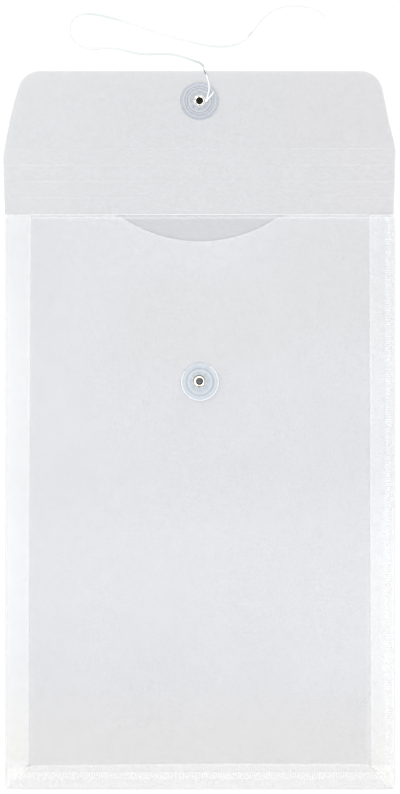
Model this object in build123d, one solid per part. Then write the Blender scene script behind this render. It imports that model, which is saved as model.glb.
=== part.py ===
from build123d import *
import math
import os

# String tie envelope in frosted polypropylene film, lying on its back with the
# flap open. Millimetres. +X to the right, +Y towards the flap, +Z up.
# Origin: centre of the back panel's underside.

# ---------------------------------------------------------------- dimensions
W = 158.75                # body width, outer fold to outer fold (6 1/4 in)
H = 234.95                # body height, bottom fold to flap fold (9 1/4 in)
T = 0.30                  # film thickness
GAP = 0.10                # gap between two folded layers
RB = T + GAP / 2          # radius of the rounded fold along a gusset crease
CL = 0.10                 # clearance between a fold and the next panel
GUSSET_W = 10.0           # width of one gusset half, crease to crease
GUSSET_REST = 18.0        # degrees that a gusset half stands up at rest
MITRE_GAP = 0.45          # gap of the mitred gusset ends at the bottom corners

FRONT_DROP = 1.40         # front panel's top edge below the flap fold
NOTCH_DEPTH = 9.9         # thumb notch
NOTCH_HALF = 32.0         # half of its width along the top edge
NOTCH_CORNER = 2.5        # rounding of its two corners

RH = T / 2                # radius of the rounded living hinge on the flap
HC = 0.05                 # clearance beside it
STRIP = 6.70              # flap score spacing
FLAP_L = 58.2             # flap length, fold to top edge
TAPER_START = 25.3        # where the flap's sides begin to taper
TAPER_IN = 7.3            # how far each side has come in at the top edge
FLAP_CORNER = 10.0        # rounding of the flap's two top corners

RIGHT_TAB = 3.9           # width of the right weld tab
BOTTOM_TAB = 6.9          # width of the bottom weld tab
TAB_T = 0.25              # weld tab thickness after welding

DISC_R = 7.9              # button disc
DISC_FLANGE = 1.20        # thickness of its flange
HUB_R = 1.95              # hub on the film side, which the string winds on
HUB_H = 0.95
BORE_R = 1.62             # bore, runs on the eyelet barrel
SEAT = 0.06               # gap between hub and film
EYE_OUT = 1.55            # eyelet barrel
EYE_IN = 1.27
EYE_HEAD_R = 2.35         # eyelet head on the disc
EYE_ROLL_R = 2.20         # rolled end on the film
EYE_WEB_T = 0.40          # closed web across the barrel
EYE_WEB_Z = 1.00          # its middle, from the hub face

FRONT_DISC_X = -0.30      # disc centres
FRONT_DISC_Y = 49.17
FLAP_DISC_X = -0.14
FLAP_DISC_S = 46.4        # from the flap fold

CORD_D = 0.80             # string
LOOP_D = 0.50             # string where its loop is drawn tight round the hub
FLOOR_LIFT = 0.02         # lowest line of the string above the table

# ---------------------------------------------------------------- derived
XA = W / 2 - RB           # gusset crease lines on the back panel
YA = -(H / 2 - RB)
ZA = RB
YF = H / 2                # flap fold
Y_TOP = YF - FRONT_DROP   # front panel and gussets end here
TH = math.radians(GUSSET_REST)
RISE = 2 * GUSSET_W * math.sin(TH) + 2 * (T + GAP) * math.cos(TH)
ZC = ZA + RISE            # gusset crease lines on the front panel
Z_FB = ZC + GAP / 2       # front panel underside
Z_FT = Z_FB + T           # front panel top
B_IN = GUSSET_W * math.cos(TH) - (T + GAP) * math.sin(TH)   # inner crease, inwards of the outer one
B_UP = GUSSET_W * math.sin(TH) + (T + GAP) * math.cos(TH)   # and above it

# flap tilt: it rests on the edge of its disc
disc_out = RH + SEAT + HUB_H + DISC_FLANGE
EDGE_R = 0.45
tilt = 0.05
for _ in range(20):
    s_low = FLAP_DISC_S - (DISC_R - EDGE_R + EDGE_R * math.sin(tilt))
    n_low = disc_out - EDGE_R * (1 - math.cos(tilt))
    tilt = math.atan((n_low - (RH - 0.01) / math.cos(tilt)) / s_low)
TILT = math.degrees(tilt)


def plate(points, z0, z1):
    """Flat panel of the given outline between two heights."""
    face = make_face(Polyline([(x, y) for x, y in points], close=True))
    return extrude(Pos(0, 0, z0) * face, amount=z1 - z0)


def rod_y(r, x, z, y0, y1):
    """Round fold along Y."""
    return Pos(x, (y0 + y1) / 2, z) * Rot(90, 0, 0) * Cylinder(r, y1 - y0)


def rod_x(r, y, z, x0, x1):
    """Round fold along X."""
    return Pos((x0 + x1) / 2, y, z) * Rot(0, 90, 0) * Cylinder(r, x1 - x0)


parts = {}

# ---------------------------------------------------------------- back panel
back = plate([(-XA, YA), (XA, YA), (XA, YF), (-XA, YF)], 0, T)
back += rod_y(RB, -XA, ZA, YA, Y_TOP)
back += rod_y(RB, XA, ZA, YA, Y_TOP)
back += rod_x(RB, YA, ZA, -XA, XA)
back += rod_x(RH, YF, RH, -W / 2, W / 2)
parts["back_panel"] = back

# ---------------------------------------------------------------- gussets
# Each half is drawn flat about its own crease line, then turned to the rest
# angle and moved into place. u runs inwards from the outer crease.
U0 = RB + CL


def gusset_back(y_low, y_high, low_mitre, high_mitre):
    def lo(u):
        return y_low + (u + MITRE_GAP if low_mitre else 0)

    def hi(u):
        return y_high - (u + MITRE_GAP if high_mitre else 0)

    u1 = GUSSET_W
    p = plate([(U0, lo(U0)), (u1, lo(u1)), (u1, hi(u1)), (U0, hi(U0))], GAP / 2, GAP / 2 + T)
    p += rod_y(RB, u1, T + GAP, lo(u1) + 0.15, hi(u1) - (0.15 if high_mitre else 0))
    return Rot(0, -GUSSET_REST, 0) * p


def gusset_front(y_low, y_high, low_mitre, high_mitre):
    def lo(u):
        return y_low + (u + MITRE_GAP if low_mitre else 0)

    def hi(u):
        return y_high - (u + MITRE_GAP if high_mitre else 0)

    a, b = U0, GUSSET_W - U0
    ua, ub = GUSSET_W - a, GUSSET_W - b
    p = plate([(-a, lo(ua)), (-b, lo(ub)), (-b, hi(ub)), (-a, hi(ua))], GAP / 2, GAP / 2 + T)
    return Rot(0, GUSSET_REST, 0) * p


side_b = Pos(-XA, 0, ZA) * gusset_back(YA, Y_TOP, True, False)
side_f = Pos(-XA + B_IN, 0, ZA + B_UP) * gusset_front(YA, Y_TOP, True, False)
parts["left_gusset_back"] = side_b
parts["left_gusset_front"] = side_f
parts["right_gusset_back"] = mirror(side_b, about=Plane.YZ)
parts["right_gusset_front"] = mirror(side_f, about=Plane.YZ)
turn = Rot(0, 0, 90)
parts["bottom_gusset_back"] = Pos(0, YA, ZA) * turn * gusset_back(-XA, XA, True, True)
parts["bottom_gusset_front"] = Pos(0, YA + B_IN, ZA + B_UP) * turn * gusset_front(-XA, XA, True, True)

# ---------------------------------------------------------------- front panel
notch_r = (NOTCH_HALF ** 2 + NOTCH_DEPTH ** 2) / (2 * NOTCH_DEPTH)
outline = make_face(Polyline([(-XA, YA), (XA, YA), (XA, Y_TOP), (-XA, Y_TOP)], close=True))
outline -= Pos(0, Y_TOP - NOTCH_DEPTH + notch_r, 0) * Circle(notch_r)
rims = [v for v in outline.vertices() if abs(abs(v.X) - NOTCH_HALF) < 0.5 and abs(v.Y - Y_TOP) < 0.01]
outline = fillet(rims, NOTCH_CORNER)
outline -= Pos(FRONT_DISC_X, FRONT_DISC_Y, 0) * Circle(EYE_OUT)
front = extrude(Pos(0, 0, Z_FB) * outline, amount=T)
front += rod_y(RB, -XA, ZC, YA, Y_TOP)
front += rod_y(RB, XA, ZC, YA, Y_TOP)
front += rod_x(RB, YA, ZC, -XA, XA)
parts["front_panel"] = front

# weld tabs lap onto the front panel's margins
yb = YA + BOTTOM_TAB - RB
parts["bottom_weld_tab"] = plate(
    [(-XA + 1.2, YA), (XA - 1.2, YA), (XA - RIGHT_TAB, yb), (-XA + RIGHT_TAB, yb)], Z_FT, Z_FT + TAB_T)
xr = XA - RIGHT_TAB + RB
parts["right_weld_tab"] = plate(
    [(xr, yb + 0.4), (XA, YA + 1.6), (XA, Y_TOP), (xr, Y_TOP)], Z_FT, Z_FT + TAB_T)

# ---------------------------------------------------------------- flap
# Drawn flat: y runs from the fold, z from the film's middle.


def half_width(s):
    if s <= TAPER_START:
        return W / 2
    return W / 2 - TAPER_IN * (s - TAPER_START) / (FLAP_L - TAPER_START)


def on_flap(shape):
    return Pos(0, YF, RH) * Rot(TILT, 0, 0) * shape


for k in range(4):
    s0, s1 = k * STRIP, (k + 1) * STRIP
    a = s0 + RH + HC
    right = [(half_width(a), a)]
    if a < TAPER_START < s1:
        right.append((W / 2, TAPER_START))
    right.append((half_width(s1), s1))
    pts = [(-x, y) for x, y in reversed(right)]
    strip = plate(right + pts, -RH, RH)
    strip += rod_x(RH, s1, 0, -half_width(s1), half_width(s1))
    parts["flap_strip_%d" % (k + 1)] = on_flap(strip)

s0 = 4 * STRIP + RH + HC
tongue_face = make_face(Polyline(
    [(half_width(s0), s0), (half_width(FLAP_L), FLAP_L), (-half_width(FLAP_L), FLAP_L), (-half_width(s0), s0)],
    close=True))
tips = [v for v in tongue_face.vertices() if v.Y > FLAP_L - 0.01]
tongue_face = fillet(tips, FLAP_CORNER)
tongue_face -= Pos(FLAP_DISC_X, FLAP_DISC_S, 0) * Circle(EYE_OUT)
parts["flap_tongue"] = on_flap(extrude(Pos(0, 0, -RH) * tongue_face, amount=T))

# ---------------------------------------------------------------- discs and eyelets
# Drawn along +Z: z = 0 is the hub face next to the film.
Z_TOP = HUB_H + DISC_FLANGE


def ring(r0, r1, z0, z1):
    return Pos(0, 0, (z0 + z1) / 2) * (Cylinder(r1, z1 - z0) - Cylinder(r0, z1 - z0))


def make_disc():
    body = Pos(0, 0, HUB_H + DISC_FLANGE / 2) * Cylinder(DISC_R, DISC_FLANGE)
    rim = [e for e in body.edges().filter_by(GeomType.CIRCLE)]
    top = [e for e in rim if e.center().Z > HUB_H + 0.5]
    low = [e for e in rim if e.center().Z < HUB_H + 0.5]
    body = fillet(top, EDGE_R)
    low = [e for e in body.edges().filter_by(GeomType.CIRCLE) if e.center().Z < HUB_H + 0.01]
    body = chamfer(low, 0.30)
    body += Pos(0, 0, HUB_H / 2) * Cylinder(HUB_R, HUB_H)
    body -= ring(5.25, 5.75, Z_TOP - 0.30, Z_TOP + 0.1)          # groove in the outer face
    body -= Pos(0, 0, Z_TOP) * Cylinder(2.62, 0.60)               # seat of the eyelet head
    body -= ring(4.70, 5.08, HUB_H - 0.1, HUB_H + 0.22)           # grooves in the film side
    body -= ring(5.62, 6.00, HUB_H - 0.1, HUB_H + 0.22)
    for i in range(8):                                            # relief pockets round the hub
        body -= Rot(0, 0, 45 * i + 22.5) * Pos(3.35, 0, HUB_H + 0.15) * Box(1.10, 1.35, 0.50)
    body -= Pos(0, 0, Z_TOP / 2) * Cylinder(BORE_R, Z_TOP + 1)
    return body


def make_eyelet():
    z_roll0, z_roll1 = -SEAT - T - 0.30, -SEAT - T
    z_head0, z_head1 = Z_TOP - 0.25, Z_TOP + 0.10
    head = Pos(0, 0, (z_head0 + z_head1) / 2) * Cylinder(EYE_HEAD_R, z_head1 - z_head0)
    head = fillet([e for e in head.edges().filter_by(GeomType.CIRCLE) if e.center().Z > z_head0 + 0.1], 0.2)
    roll = Pos(0, 0, (z_roll0 + z_roll1) / 2) * Cylinder(EYE_ROLL_R, z_roll1 - z_roll0)
    roll = fillet([e for e in roll.edges().filter_by(GeomType.CIRCLE) if e.center().Z < z_roll1 - 0.1], 0.15)
    body = head + roll + Pos(0, 0, (z_roll0 + z_head1) / 2) * Cylinder(EYE_OUT, z_head1 - z_roll0)
    body -= Pos(0, 0, (z_roll0 + z_head1) / 2) * Cylinder(EYE_IN, 10)
    return body + Pos(0, 0, EYE_WEB_Z) * Cylinder((EYE_IN + EYE_OUT) / 2, EYE_WEB_T)


disc, eyelet = make_disc(), make_eyelet()
at_front = Pos(FRONT_DISC_X, FRONT_DISC_Y, Z_FT + SEAT)
parts["front_disc"] = at_front * disc
parts["front_eyelet"] = at_front * eyelet
at_flap = Pos(FLAP_DISC_X, FLAP_DISC_S, -RH - SEAT) * Rot(180, 0, 0)
parts["flap_disc"] = on_flap(at_flap * disc)
parts["flap_eyelet"] = on_flap(at_flap * eyelet)

# ---------------------------------------------------------------- string
# Loop round the hub between film and disc, with its knot on the right, a short
# cut tail, and the lead that leaves under the flap's edge and lies on the table.
N_STR = -RH - SEAT - HUB_H / 2
KNOT = (2.80, 0.12)       # knot centre from the disc centre, in the flap's plane
loop = Torus(HUB_R + 0.04 + LOOP_D / 2, LOOP_D / 2)
knot = Cylinder(0.72, 0.84)
knot = fillet(knot.edges().filter_by(GeomType.CIRCLE), 0.38)
knotted = loop + Pos(KNOT[0], KNOT[1], 0) * knot
parts["string_loop"] = on_flap(Pos(FLAP_DISC_X, FLAP_DISC_S, N_STR) * knotted)

# tail, as offsets from the disc centre in the flap's plane
tail_a, tail_b = Vector(3.20, 0.55, 0), Vector(5.85, 3.75, 0)
td = tail_b - tail_a
tail = Plane(origin=tail_a, z_dir=td) * Pos(0, 0, td.length / 2) * Cylinder(CORD_D / 2, td.length)
parts["string_tail"] = on_flap(Pos(FLAP_DISC_X, FLAP_DISC_S, N_STR) * tail)

# lead: points (x, y along the flap, height off the film's middle) while under the flap
under = [(2.80, 47.00, N_STR), (3.14, 48.60, N_STR), (3.90, 50.85, N_STR), (3.62, 53.80, N_STR - 0.10), (2.88, 56.20, N_STR - 0.55)]
rad = math.radians(TILT)
route = [(x, YF + s * math.cos(rad) - n * math.sin(rad), RH + s * math.sin(rad) + n * math.cos(rad)) for x, s, n in under]
zf = CORD_D / 2 + FLOOR_LIFT
route += [(2.10, 176.30, 1.75), (1.35, 178.20, 1.05), (-0.10, 179.60, 0.60)]
for x, y in [(-3.3, 180.6), (-6.6, 181.8), (-9.9, 182.7), (-13.2, 183.15), (-17.6, 183.2), (-22.4, 182.8), (-27.4, 183.6),
             (-32.0, 184.8), (-36.7, 185.7), (-41.0, 185.3), (-45.4, 185.2), (-49.6, 186.6), (-52.3, 189.0),
             (-53.6, 192.0), (-53.4, 195.4), (-51.3, 198.2), (-47.8, 199.7), (-43.0, 199.4), (-36.4, 197.9),
             (-29.6, 196.0), (-20.6, 192.9), (-12.0, 190.2), (-3.6, 188.0), (3.6, 186.4), (9.6, 186.0), (14.6, 186.8),
             (18.4, 188.8), (21.2, 191.8), (23.6, 195.2), (26.4, 198.6), (30.0, 201.2), (34.6, 202.7), (39.6, 203.0), (44.4, 202.4),
             (48.4, 200.8), (51.6, 197.9), (54.0, 194.4)]:
    route.append((x, y, zf))

vecs = [Vector(*p) for p in route]
radii = []
for i in range(1, len(vecs) - 1):
    a, b = vecs[i] - vecs[i - 1], vecs[i + 1] - vecs[i]
    ang = a.get_angle(b)
    radii.append(0.45 * min(a.length, b.length) / math.tan(math.radians(ang) / 2))
path = FilletPolyline(*vecs, radius=radii)
section = Plane(origin=path @ 0, z_dir=path % 0) * Circle(CORD_D / 2)
cord = sweep(section, path=path)
parts["string"] = cord
print("cord radii", [round(r, 2) for r in radii])
print("cord length %.2f, section x length %.3f, volume %.3f" % (path.length, math.pi * CORD_D ** 2 / 4 * path.length, cord.volume))
print("flap tilt %.4f deg, front panel %.3f to %.3f" % (TILT, Z_FB, Z_FT))
print("axes: A x %.4f y %.4f z %.4f; B in %.4f up %.4f; C z %.4f; fold y %.4f z %.4f" % (XA, YA, ZA, B_IN, B_UP, ZC, YF, RH))

os.makedirs("parts", exist_ok=True)
for name, shape in parts.items():
    solids = shape.solids()
    out = solids[0] if len(solids) == 1 else Compound(children=list(solids))
    out.label = name
    export_step(out, "parts/%s.step" % name)
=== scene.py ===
import bpy
import bmesh
import math
import numpy as np
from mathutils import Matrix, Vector
from mathutils.geometry import delaunay_2d_cdt


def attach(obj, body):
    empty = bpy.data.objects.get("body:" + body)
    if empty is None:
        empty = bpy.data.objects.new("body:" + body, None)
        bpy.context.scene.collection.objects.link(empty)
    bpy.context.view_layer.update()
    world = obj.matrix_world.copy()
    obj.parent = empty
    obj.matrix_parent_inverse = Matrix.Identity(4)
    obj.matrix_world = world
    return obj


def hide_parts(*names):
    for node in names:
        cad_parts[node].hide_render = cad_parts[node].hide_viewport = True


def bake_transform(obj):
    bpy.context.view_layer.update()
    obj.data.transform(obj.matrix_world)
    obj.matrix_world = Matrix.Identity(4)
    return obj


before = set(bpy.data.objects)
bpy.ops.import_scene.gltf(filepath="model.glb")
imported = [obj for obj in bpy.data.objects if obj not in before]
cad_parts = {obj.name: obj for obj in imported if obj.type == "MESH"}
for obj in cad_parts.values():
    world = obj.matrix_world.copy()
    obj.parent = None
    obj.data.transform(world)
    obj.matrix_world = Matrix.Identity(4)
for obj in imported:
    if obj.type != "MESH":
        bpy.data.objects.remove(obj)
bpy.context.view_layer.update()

# String tie envelope in frosted film: every film panel, fold, weld, disc, eyelet
# and the string as modelled meshes in the CAD frame. Millimetres below, metres in
# the meshes.
MM = 0.001
W, H, T = 158.75, 234.95, 0.30
GAP, RB = 0.10, 0.35
GUSSET_W = 10.0
TH = math.radians(18.0)
XA, YA, ZA = W / 2 - RB, -(H / 2 - RB), RB
YF = H / 2
Y_TOP = YF - 1.40
CT, ST = math.cos(TH), math.sin(TH)
B_IN = GUSSET_W * CT - (T + GAP) * ST
B_UP = GUSSET_W * ST + (T + GAP) * CT
ZC = ZA + 2 * GUSSET_W * ST + 2 * (T + GAP) * CT
Z_FB = ZC + GAP / 2
Z_FT = Z_FB + T
RH = T / 2
STRIP = 6.70
FLAP_L = 58.5
DISC_R, DISC_FLANGE, HUB_R, HUB_H, BORE_R, SEAT, EDGE_R = 7.9, 1.20, 1.95, 0.95, 1.62, 0.06, 0.45
EYE_OUT, EYE_IN, EYE_HEAD_R, EYE_ROLL_R = 1.55, 1.27, 2.35, 2.20
FRONT_DISC = (-0.30, 49.17)
FLAP_DISC = (-0.14, 46.4)
CORD_D = 0.80

tilt = 0.05
for _ in range(20):
    s_low = FLAP_DISC[1] - (DISC_R - EDGE_R + EDGE_R * math.sin(tilt))
    n_low = RH + SEAT + HUB_H + DISC_FLANGE - EDGE_R * (1 - math.cos(tilt))
    tilt = math.atan((n_low - (RH - 0.01) / math.cos(tilt)) / s_low)
CF, SF = math.cos(tilt), math.sin(tilt)


# ------------------------------------------------------------------ placing
def flat(z):
    return lambda u, v, n: Vector((u, v, z + n)) * MM


def on_flap(u, s, n):
    return Vector((u, YF + s * CF - n * SF, RH + s * SF + n * CF)) * MM


def side_back(sign):
    return lambda u, v, n: Vector((sign * (XA - u * CT + n * ST), v, ZA + u * ST + n * CT)) * MM


def side_front(sign):
    return lambda u, v, n: Vector((sign * (XA - B_IN + u * CT - n * ST), v, ZA + B_UP + u * ST + n * CT)) * MM


def low_back(u, v, n):
    return Vector((v, YA + u * CT - n * ST, ZA + u * ST + n * CT)) * MM


def low_front(u, v, n):
    return Vector((v, YA + B_IN - u * CT + n * ST, ZA + B_UP + u * ST + n * CT)) * MM


# ------------------------------------------------------------------ mesh tools
def make(name, verts, faces, mats, index=None, sharp=38.0, flip=True):
    me = bpy.data.meshes.new(name)
    me.from_pydata([tuple(v) for v in verts], [], faces)
    for m in mats:
        me.materials.append(m)
    if index is not None:
        me.polygons.foreach_set("material_index", index)
    if flip:
        bm = bmesh.new()
        bm.from_mesh(me)
        bmesh.ops.recalc_face_normals(bm, faces=bm.faces)
        bm.to_mesh(me)
        bm.free()
    me.shade_smooth()
    me.set_sharp_from_angle(angle=math.radians(sharp))
    me.update()
    ob = bpy.data.objects.new(name, me)
    bpy.context.scene.collection.objects.link(ob)
    return ob


def done(ob, body, slot, *nodes):
    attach(ob, body)
    if nodes:
        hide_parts(*nodes)
    return ob


def inside(loop, pts):
    """Which points lie in the closed loop."""
    x, y = pts[:, 0], pts[:, 1]
    hit = np.zeros(len(pts), bool)
    for (x0, y0), (x1, y1) in zip(loop, np.roll(loop, -1, 0)):
        cross = (y0 > y) != (y1 > y)
        with np.errstate(divide="ignore", invalid="ignore"):
            at = (x1 - x0) * (y - y0) / (y1 - y0) + x0
        hit ^= cross & (x < at)
    return hit


def away(loop, pts):
    """Distance of each point from the closed loop."""
    best = np.full(len(pts), 1e9)
    for a, b in zip(loop, np.roll(loop, -1, 0)):
        d = b - a
        t = np.clip(((pts - a) @ d) / max(d @ d, 1e-12), 0, 1)
        best = np.minimum(best, np.linalg.norm(pts - a - t[:, None] * d, axis=1))
    return best


def inset(loop, w):
    """The loop moved inwards by w, a number or a width at each point. The loop runs anticlockwise."""
    out = []
    k = len(loop)
    for i in range(k):
        a, b, c = loop[i - 1], loop[i], loop[(i + 1) % k]
        d0, d1 = b - a, c - b
        n0 = np.array([-d0[1], d0[0]]) / np.linalg.norm(d0)
        n1 = np.array([-d1[1], d1[0]]) / np.linalg.norm(d1)
        wide = w(*b) if callable(w) else w
        out.append(b + wide * (n0 + n1) / max(1 + n0 @ n1, 0.3))
    return np.array(out)


def spread(loop, step):
    """The loop with points at most step apart."""
    out = []
    for a, b in zip(loop, np.roll(loop, -1, 0)):
        k = max(1, int(math.ceil(np.linalg.norm(b - a) / step)))
        out += [a + (b - a) * i / k for i in range(k)]
    return np.array(out)


def panel(name, loop, place, n0, n1, mats, holes=(), step=4.0, wave=None, rim=0.0, rim_where=None, rim_mat=1, wall_mat=None):
    """A closed film panel of the given outline, from height n0 to n1, that follows a gentle wave."""
    loop = spread(np.array(loop, float), step)
    area = 0.5 * np.sum(loop[:, 0] * np.roll(loop[:, 1], -1) - np.roll(loop[:, 0], -1) * loop[:, 1])
    if area < 0:
        loop = loop[::-1]
    loops = [loop]
    inner = inset(loop, rim) if rim else loop
    if rim:
        loops.append(inner)
    holes = [np.array(h, float) for h in holes]
    loops += holes
    pts, edges = [], []
    for l in loops:
        k0 = len(pts)
        pts += [tuple(p) for p in l]
        edges += [(k0 + i, k0 + (i + 1) % len(l)) for i in range(len(l))]
    lo, hi = loop.min(0), loop.max(0)
    nx, ny = (max(1, int(round((hi[i] - lo[i]) / step))) for i in (0, 1))
    grid = np.array([[lo[0] + (hi[0] - lo[0]) * i / nx, lo[1] + (hi[1] - lo[1]) * j / ny] for j in range(1, ny) for i in range(1, nx)])
    if len(grid):
        ok = inside(inner, grid) & (away(inner, grid) > 0.3 * step)
        for h in holes:
            ok &= ~inside(h, grid) & (away(h, grid) > 0.2 * step)
        pts += [tuple(p) for p in grid[ok]]
    vs, _, fs, *_ = delaunay_2d_cdt([Vector(p) for p in pts], edges, [], 0, 1e-7)
    flatp = np.array([(v.x, v.y) for v in vs])
    mid = np.array([flatp[list(f)].mean(0) for f in fs])
    keep = inside(loop, mid)
    for h in holes:
        keep &= ~inside(h, mid)
    fs = [list(f) for f, k in zip(fs, keep) if k]
    mid = mid[keep]
    for f in fs:
        a, b, c = flatp[f[0]], flatp[f[1]], flatp[f[2]]
        if (b[0] - a[0]) * (c[1] - a[1]) - (b[1] - a[1]) * (c[0] - a[0]) < 0:
            f.reverse()
    used = sorted({i for f in fs for i in f})
    at = {v: i for i, v in enumerate(used)}
    fs = [[at[i] for i in f] for f in fs]
    flatp = flatp[used]
    k = len(flatp)
    off = [wave(u, v) if wave else 0.0 for u, v in flatp]
    verts = [place(u, v, n1 + o) for (u, v), o in zip(flatp, off)] + [place(u, v, n0 + o) for (u, v), o in zip(flatp, off)]
    faces = [tuple(f) for f in fs] + [tuple(i + k for i in reversed(f)) for f in fs]
    if rim:
        ring = ~inside(inner, mid)
        top = [rim_mat if r and (rim_where is None or rim_where(*m)) else 0 for r, m in zip(ring, mid)]
    else:
        top = [0] * len(fs)
    index = top + top
    seen = {}
    for f in fs:
        for a, b in zip(f, f[1:] + f[:1]):
            seen[(a, b)] = True
    for a, b in list(seen):
        if (b, a) not in seen:
            faces.append((b, a, a + k, b + k))
            m = (flatp[a] + flatp[b]) / 2
            index.append(wall_mat if wall_mat is not None else (rim_mat if rim and (rim_where is None or rim_where(*m)) else 0))
    return make(name, verts, faces, mats, index)


def tube(points, radius, sides=8, closed=False, twist=0.0, squeeze=1.0):
    """Verts and faces of a round tube along points. radius is a number or one per point."""
    p = np.array(points, float)
    k = len(p)
    r = np.full(k, radius, float) if np.isscalar(radius) else np.array(radius, float)
    tan = np.roll(p, -1, 0) - np.roll(p, 1, 0)
    if not closed:
        tan[0], tan[-1] = p[1] - p[0], p[-1] - p[-2]
    tan /= np.linalg.norm(tan, axis=1)[:, None]
    up = np.array([0.0, 0.0, 1.0]) if abs(tan[0][2]) < 0.9 else np.array([1.0, 0.0, 0.0])
    nor = np.cross(tan[0], up)
    nor /= np.linalg.norm(nor)
    verts, faces = [], []
    for i in range(k):
        nor = nor - (nor @ tan[i]) * tan[i]
        nor /= np.linalg.norm(nor)
        bi = np.cross(tan[i], nor)
        for j in range(sides):
            a = 2 * math.pi * j / sides + twist * i
            verts.append(p[i] + r[i] * (math.cos(a) * nor + math.sin(a) * bi))
    last = k if closed else k - 1
    for i in range(last):
        for j in range(sides):
            a, b = i * sides + j, i * sides + (j + 1) % sides
            c, d = ((i + 1) % k) * sides + (j + 1) % sides, ((i + 1) % k) * sides + j
            faces.append((a, b, c, d))
    if not closed:
        faces.append(tuple(reversed(range(sides))))
        faces.append(tuple((k - 1) * sides + j for j in range(sides)))
    return [Vector(v) for v in verts], faces


def joined(parts):
    verts, faces = [], []
    for v, f in parts:
        k = len(verts)
        verts += list(v)
        faces += [tuple(i + k for i in g) for g in f]
    return verts, faces


def bead(p0, p1, r, sides=14, step=6.0, seed=0.0, amp=0.008):
    """A rounded fold line from p0 to p1 (metres), a little uneven along its length."""
    p0, p1 = np.array(p0, float), np.array(p1, float)
    long = np.linalg.norm(p1 - p0)
    k = max(4, int(long / MM / step))
    end = min(0.4 * r / long, 0.2)
    ts = [0.0, end] + [end + (1 - 2 * end) * i / k for i in range(1, k)] + [1 - end, 1.0]
    pts = [p0 + (p1 - p0) * t for t in ts]
    rad = []
    for i, t in enumerate(ts):
        q = 1.0 + amp * (math.sin(23.0 * t + seed) + 0.6 * math.sin(61.0 * t + 2.1 * seed)) / 1.6 - amp
        rad.append(r * q * (0.72 if i in (0, len(ts) - 1) else 1.0))
    return tube(pts, rad, sides)


# ------------------------------------------------------------------ materials
def nodes_of(name):
    m = bpy.data.materials.new(name)
    m.use_nodes = True
    nt = m.node_tree
    bsdf = next(n for n in nt.nodes if n.type == "BSDF_PRINCIPLED")
    return m, nt, bsdf


def link(nt, a, b):
    nt.links.new(a, b)


def coords(nt):
    return nt.nodes.new("ShaderNodeTexCoord").outputs["Object"]


def noise(nt, vec, scale, detail=2.0, rough=0.5, stretch=None):
    if stretch:
        mp = nt.nodes.new("ShaderNodeMapping")
        mp.inputs["Scale"].default_value = stretch
        link(nt, vec, mp.inputs["Vector"])
        vec = mp.outputs["Vector"]
    n = nt.nodes.new("ShaderNodeTexNoise")
    n.inputs["Scale"].default_value = scale
    n.inputs["Detail"].default_value = detail
    n.inputs["Roughness"].default_value = rough
    link(nt, vec, n.inputs["Vector"])
    return n.outputs["Fac"]


def remap(nt, val, a, b, c=0.0, d=1.0, smooth=True):
    n = nt.nodes.new("ShaderNodeMapRange")
    n.interpolation_type = "SMOOTHSTEP" if smooth else "LINEAR"
    n.inputs["From Min"].default_value = a
    n.inputs["From Max"].default_value = b
    n.inputs["To Min"].default_value = c
    n.inputs["To Max"].default_value = d
    link(nt, val, n.inputs["Value"])
    return n.outputs["Result"]


def maths(nt, op, a, b=None):
    n = nt.nodes.new("ShaderNodeMath")
    n.operation = op
    for k, x in enumerate((a, b)):
        if x is None:
            continue
        if isinstance(x, (int, float)):
            n.inputs[k].default_value = x
        else:
            link(nt, x, n.inputs[k])
    return n.outputs[0]


def mix(nt, fac, a, b):
    n = nt.nodes.new("ShaderNodeMix")
    n.data_type = "RGBA"
    link(nt, fac, n.inputs[0])
    for k, x in ((6, a), (7, b)):
        if isinstance(x, (tuple, list)):
            n.inputs[k].default_value = (*x, 1.0)
        else:
            link(nt, x, n.inputs[k])
    return n.outputs[2]


def bump(nt, bsdf, height, dist, strength=1.0):
    n = nt.nodes.new("ShaderNodeBump")
    n.inputs["Strength"].default_value = strength
    n.inputs["Distance"].default_value = dist
    link(nt, height, n.inputs["Height"])
    link(nt, n.outputs["Normal"], bsdf.inputs["Normal"])


def axis_of(nt, vec, k):
    n = nt.nodes.new("ShaderNodeSeparateXYZ")
    link(nt, vec, n.inputs[0])
    return n.outputs[k]


def speckle(nt, co, col, amount):
    """Fine uneven haze of the frosted surface."""
    n = nt.nodes.new("ShaderNodeHueSaturation")
    link(nt, remap(nt, noise(nt, co, 1250.0, 2.0, 0.65), 0.30, 0.70, 1 - amount, 1 + amount), n.inputs["Value"])
    link(nt, col, n.inputs["Color"])
    return n.outputs["Color"]


def film(name, dark, light, alpha, rough=0.55, extra=None, haze=0.07):
    """Frosted film: cloudy tone, fine matte grain, an even alpha."""
    m, nt, b = nodes_of(name)
    co = coords(nt)
    cloud = remap(nt, noise(nt, co, 14.0, 3.0, 0.55), 0.30, 0.70)
    col = mix(nt, cloud, dark, light)
    if extra:
        col = extra(nt, co, col)
    link(nt, speckle(nt, co, col, haze), b.inputs["Base Color"])
    grain = noise(nt, co, 2600.0, 2.0, 0.6)
    link(nt, remap(nt, grain, 0.3, 0.7, rough - 0.06, rough + 0.06), b.inputs["Roughness"])
    bump(nt, b, grain, 0.000012, 0.35)
    b.inputs["Alpha"].default_value = alpha
    b.inputs["IOR"].default_value = 1.49
    b.inputs["Specular IOR Level"].default_value = 0.40
    return m


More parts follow.
